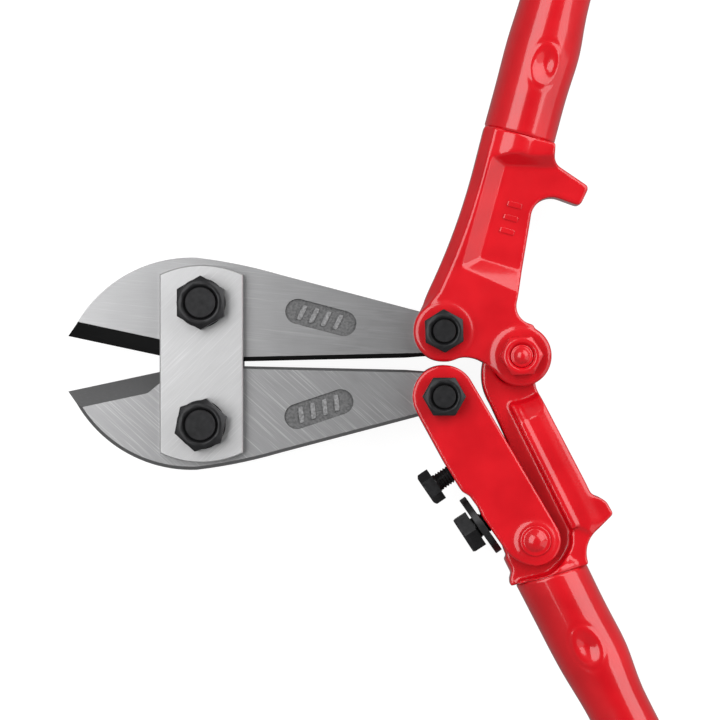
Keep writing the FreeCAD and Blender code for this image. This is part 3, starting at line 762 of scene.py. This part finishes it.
# Repeats made with geometry nodes
def repeat_tree(name, count, pitch, width, length, height, material):
    """A row of rounded bars: named inputs for count, spacing and bar size."""
    tree = bpy.data.node_groups.new(name, "GeometryNodeTree")
    socket(tree, "Geometry", "INPUT", "NodeSocketGeometry")
    socket(tree, "Count", "INPUT", "NodeSocketInt", count)
    socket(tree, "Spacing", "INPUT", "NodeSocketFloat", pitch * MM)
    socket(tree, "Width", "INPUT", "NodeSocketFloat", width * MM)
    socket(tree, "Length", "INPUT", "NodeSocketFloat", length * MM)
    socket(tree, "Height", "INPUT", "NodeSocketFloat", height * MM)
    socket(tree, "Geometry", "OUTPUT", "NodeSocketGeometry")
    nodes, links = tree.nodes, tree.links
    given, result = nodes.new("NodeGroupInput"), nodes.new("NodeGroupOutput")
    step = nodes.new("ShaderNodeCombineXYZ")
    row = nodes.new("GeometryNodeMeshLine")
    size = nodes.new("ShaderNodeCombineXYZ")
    block = nodes.new("GeometryNodeMeshCube")
    rounder = nodes.new("GeometryNodeSubdivisionSurface")
    rounder.inputs["Level"].default_value = 2
    for axis in ("Vertices X", "Vertices Y", "Vertices Z"):
        block.inputs[axis].default_value = 4
    copies = nodes.new("GeometryNodeInstanceOnPoints")
    real = nodes.new("GeometryNodeRealizeInstances")
    finish = nodes.new("GeometryNodeSetMaterial")
    finish.inputs["Material"].default_value = material
    links.new(given.outputs["Spacing"], step.inputs["X"])
    links.new(given.outputs["Count"], row.inputs["Count"])
    links.new(step.outputs["Vector"], row.inputs["Offset"])
    links.new(given.outputs["Width"], size.inputs["X"])
    links.new(given.outputs["Length"], size.inputs["Y"])
    links.new(given.outputs["Height"], size.inputs["Z"])
    links.new(size.outputs["Vector"], block.inputs["Size"])
    links.new(block.outputs["Mesh"], rounder.inputs["Mesh"])
    links.new(row.outputs["Mesh"], copies.inputs["Points"])
    links.new(rounder.outputs["Mesh"], copies.inputs["Instance"])
    links.new(copies.outputs["Instances"], real.inputs["Geometry"])
    links.new(real.outputs["Geometry"], finish.inputs["Geometry"])
    links.new(finish.outputs["Geometry"], result.inputs["Geometry"])
    return tree


def bar_row(name, start, angle, slant, height, count, pitch, width, length, thickness, finish):
    """A row of raised bars standing on a surface at a height, made by a tree and placed in its mesh."""
    tree = repeat_tree(name + "_row", count, pitch, width, length, thickness, finish_named(finish))
    piece = new_piece(name, bpy.data.meshes.new(name))
    piece.modifiers.new("row", "NODES").node_group = tree
    settle(piece)
    lean = Matrix.Identity(4)
    lean[0][1] = math.tan(math.radians(slant))
    turn = Matrix.Rotation(math.radians(angle), 4, "Z")
    piece.data.transform(Matrix.Translation(spot(*start, height)) @ turn @ lean)
    shade(piece, 40)
    return piece


class CUTTER_OT_marks(bpy.types.Operator):
    """Plain raised marks in the jaws' sunk ovals and on the upper arm's panel"""
    bl_idname = "cutter.marks"
    bl_label = "Raised marks"

    def execute(self, context):
        for side, start, angle in (("upper", (26.6, 13.6), -14.7), ("lower", (26.4, -13.6), 18.6)):
            bars = bar_row(side + "_jaw_marks", start, angle, slant=12, height=3.55, count=4, pitch=3.3,
                           width=1.3, length=4.2, thickness=0.5, finish="mark_top")
            place(bars, side + "_jaw", "jaw_steel")
        bars = bar_row("upper_arm_marks", (81.0, 35.2), 74, slant=0, height=5.6, count=3, pitch=3.6,
                       width=1.5, length=4.0, thickness=0.7, finish="red_paint")
        place(bars, "upper_handle", "red_enamel")
        return {"FINISHED"}


# Grips
def grip_profile():
    """Run along the grip and its radius, in millimetres, from the flange to the closed end."""
    outer, flange, length = 11.7, 13.35, GRIP_LENGTH
    return [(0.0, 8.7), (0.0, flange - 1.2), (0.35, flange - 0.4), (1.2, flange), (3.4, flange),
            (4.4, flange - 0.5), (5.4, outer + 0.4), (7.0, outer), (60.0, outer - 0.5), (108.0, outer),
            (111.0, outer + 0.5), (113.0, flange - 0.3), (114.5, flange), (116.2, flange - 0.3),
            (117.4, flange - 1.4), (length, flange - 3.4), (length, 4.0), (length - 0.8, 2.4),
            (length - 0.8, 0.05)]


def rib_tree(count):
    """Adds a row of rounded ribs round a grip to its own skin."""
    tree = bpy.data.node_groups.new("grip_ribs", "GeometryNodeTree")
    socket(tree, "Geometry", "INPUT", "NodeSocketGeometry")
    socket(tree, "Ribs", "INPUT", "NodeSocketInt", count)
    socket(tree, "First rib", "INPUT", "NodeSocketFloat", FIRST_RIB * MM)
    socket(tree, "Spacing", "INPUT", "NodeSocketFloat", RIB_SPACING * MM)
    socket(tree, "Rib circle", "INPUT", "NodeSocketFloat", RIB_CIRCLE * MM)
    socket(tree, "Rib radius", "INPUT", "NodeSocketFloat", RIB_RADIUS * MM)
    socket(tree, "Geometry", "OUTPUT", "NodeSocketGeometry")
    nodes, links = tree.nodes, tree.links
    given, result = nodes.new("NodeGroupInput"), nodes.new("NodeGroupOutput")
    start, step = nodes.new("ShaderNodeCombineXYZ"), nodes.new("ShaderNodeCombineXYZ")
    row = nodes.new("GeometryNodeMeshLine")
    path = nodes.new("GeometryNodeCurvePrimitiveCircle")
    section = nodes.new("GeometryNodeCurvePrimitiveCircle")
    path.inputs["Resolution"].default_value = 64
    section.inputs["Resolution"].default_value = 10
    rib = nodes.new("GeometryNodeCurveToMesh")
    copies = nodes.new("GeometryNodeInstanceOnPoints")
    real = nodes.new("GeometryNodeRealizeInstances")
    join = nodes.new("GeometryNodeJoinGeometry")
    finish = nodes.new("GeometryNodeSetMaterial")
    finish.inputs["Material"].default_value = finish_named("black_grip")
    links.new(given.outputs["First rib"], start.inputs["Z"])
    links.new(given.outputs["Spacing"], step.inputs["Z"])
    links.new(given.outputs["Ribs"], row.inputs["Count"])
    links.new(start.outputs["Vector"], row.inputs["Start Location"])
    links.new(step.outputs["Vector"], row.inputs["Offset"])
    links.new(given.outputs["Rib circle"], path.inputs["Radius"])
    links.new(given.outputs["Rib radius"], section.inputs["Radius"])
    links.new(path.outputs["Curve"], rib.inputs["Curve"])
    links.new(section.outputs["Curve"], rib.inputs["Profile Curve"])
    links.new(row.outputs["Mesh"], copies.inputs["Points"])
    links.new(rib.outputs["Mesh"], copies.inputs["Instance"])
    links.new(given.outputs["Geometry"], join.inputs["Geometry"])
    links.new(copies.outputs["Instances"], join.inputs["Geometry"])
    links.new(join.outputs["Geometry"], real.inputs["Geometry"])
    links.new(real.outputs["Geometry"], finish.inputs["Geometry"])
    links.new(finish.outputs["Geometry"], result.inputs["Geometry"])
    return tree


class CUTTER_OT_grips(bpy.types.Operator):
    """Moulded grips with a flange, ribs and a closed end"""
    bl_idname = "cutter.grips"
    bl_label = "Grips"

    def execute(self, context):
        sizes = context.scene.cutter_sizes
        start = sizes.tube_length + GRIP_PAST_TUBE - GRIP_LENGTH
        for side, handle in HANDLES.items():
            rings = []
            for run, radius in grip_profile():
                angles = [2 * math.pi * index / GRIP_SIDES for index in range(GRIP_SIDES)]
                rings.append([(radius * math.cos(angle) * MM, radius * math.sin(angle) * MM, run * MM)
                              for angle in angles])
            mesh = ring_mesh(side + "_grip_sleeve", rings)
            outward(mesh)
            piece = new_piece(side + "_grip_sleeve", mesh)
            piece.modifiers.new("ribs", "NODES").node_group = rib_tree(sizes.grip_ribs)
            settle(piece)
            offset = Matrix.Translation((0, 0, start * MM))
            piece.data.transform(handle_matrix(handle["mouth"], handle["angle"]) @ offset)
            shade(piece, 50)
            place(piece, handle["body"], "grip_rubber", side + "_grip")
        return {"FINISHED"}


# Stage
def softbox(name, aim, side, lean, away, width, length, glow):
    """A soft light that leans off the vertical towards a side, with the glow of its face."""
    data = bpy.data.lights.new(name, "AREA")
    data.shape = "RECTANGLE"
    data.size, data.size_y = width, length
    data.energy = glow * math.pi * width * length
    light = new_piece(name, data)
    turn = math.radians(lean)
    light.location = aim + (heading(side) * math.sin(turn) + Vector((0, 0, math.cos(turn)))) * away
    light.rotation_euler = (0, turn, math.radians(side))
    light.visible_camera = False


def studio_world():
    """Dim room, darkest straight overhead so that level faces show their own colour."""
    world = bpy.data.worlds.new("studio")
    bpy.context.scene.world = world
    world.use_nodes = True
    tree = world.node_tree
    background = tree.nodes["Background"]
    place_on = tree.nodes.new("ShaderNodeTexCoord")
    parts = tree.nodes.new("ShaderNodeSeparateXYZ")
    ramp = tree.nodes.new("ShaderNodeMapRange")
    ramp.inputs["From Min"].default_value, ramp.inputs["To Min"].default_value = OVERHEAD
    ramp.inputs["From Max"].default_value, ramp.inputs["To Max"].default_value = LOW_WALLS
    tree.links.new(place_on.outputs["Generated"], parts.inputs["Vector"])
    tree.links.new(parts.outputs["Z"], ramp.inputs["Value"])
    tree.links.new(ramp.outputs["Result"], background.inputs["Strength"])
    background.inputs["Color"].default_value = (1, 1, 1, 1)


class CUTTER_OT_stage(bpy.types.Operator):
    """Pale floor, soft lights and the camera straight above the head"""
    bl_idname = "cutter.stage"
    bl_label = "Stage"

    def execute(self, context):
        level, reach = CAD_BOUNDS[0].z, FLOOR_REACH
        floor_mesh = bpy.data.meshes.new("studio_floor")
        corners = [(-reach, -reach, level), (reach, -reach, level),
                   (reach, reach, level), (-reach, reach, level)]
        floor_mesh.from_pydata(corners, [], [(0, 1, 2, 3)])
        floor = new_piece("studio_floor", floor_mesh)
        paint(floor, floor_material(tuple(context.scene.cutter_finish.floor)))
        aim = spot(*VIEW_MIDDLE)
        studio_world()
        for name, side, lean, away, width, length, glow in SOFTBOXES:
            softbox(name, aim, side, lean, away, width, length, glow)
        camera_data = bpy.data.cameras.new("camera")
        camera = new_piece("camera", camera_data)
        camera_data.lens = camera_data.sensor_width * CAMERA_DISTANCE / CAMERA_FIELD
        camera_data.clip_end = CAMERA_REACH
        camera.location = aim + Vector((0, 0, CAMERA_DISTANCE))
        context.scene.camera = camera
        context.scene.view_settings.view_transform = "Standard"
        return {"FINISHED"}


class CUTTER_PT_panel(bpy.types.Panel):
    """Lists the steps and settings"""
    bl_idname = "CUTTER_PT_panel"
    bl_label = "Bolt cutters"
    bl_space_type = "VIEW_3D"
    bl_region_type = "UI"
    bl_category = "Bolt cutters"

    def draw(self, context):
        for group in (context.scene.cutter_sizes, context.scene.cutter_finish):
            for name in group.bl_rna.properties.keys():
                if name not in ("rna_type", "name"):
                    self.layout.prop(group, name)
        for operator in OPERATORS:
            self.layout.operator(operator.bl_idname)


OPERATORS = (CUTTER_OT_stage, CUTTER_OT_castings, CUTTER_OT_tubes, CUTTER_OT_steel, CUTTER_OT_fasteners,
             CUTTER_OT_adjuster, CUTTER_OT_marks, CUTTER_OT_grips)
CLASSES = (CutterFinish, CutterSizes) + OPERATORS + (CUTTER_PT_panel,)


def register():
    for item in CLASSES:
        bpy.utils.register_class(item)
    bpy.types.Scene.cutter_finish = bpy.props.PointerProperty(type=CutterFinish)
    bpy.types.Scene.cutter_sizes = bpy.props.PointerProperty(type=CutterSizes)


def unregister():
    del bpy.types.Scene.cutter_sizes
    del bpy.types.Scene.cutter_finish
    for item in reversed(CLASSES):
        bpy.utils.unregister_class(item)


def main():
    register()
    for operator in OPERATORS:
        group, name = operator.bl_idname.split(".")
        getattr(getattr(bpy.ops, group), name)()


if __name__ == "__main__":
    main()
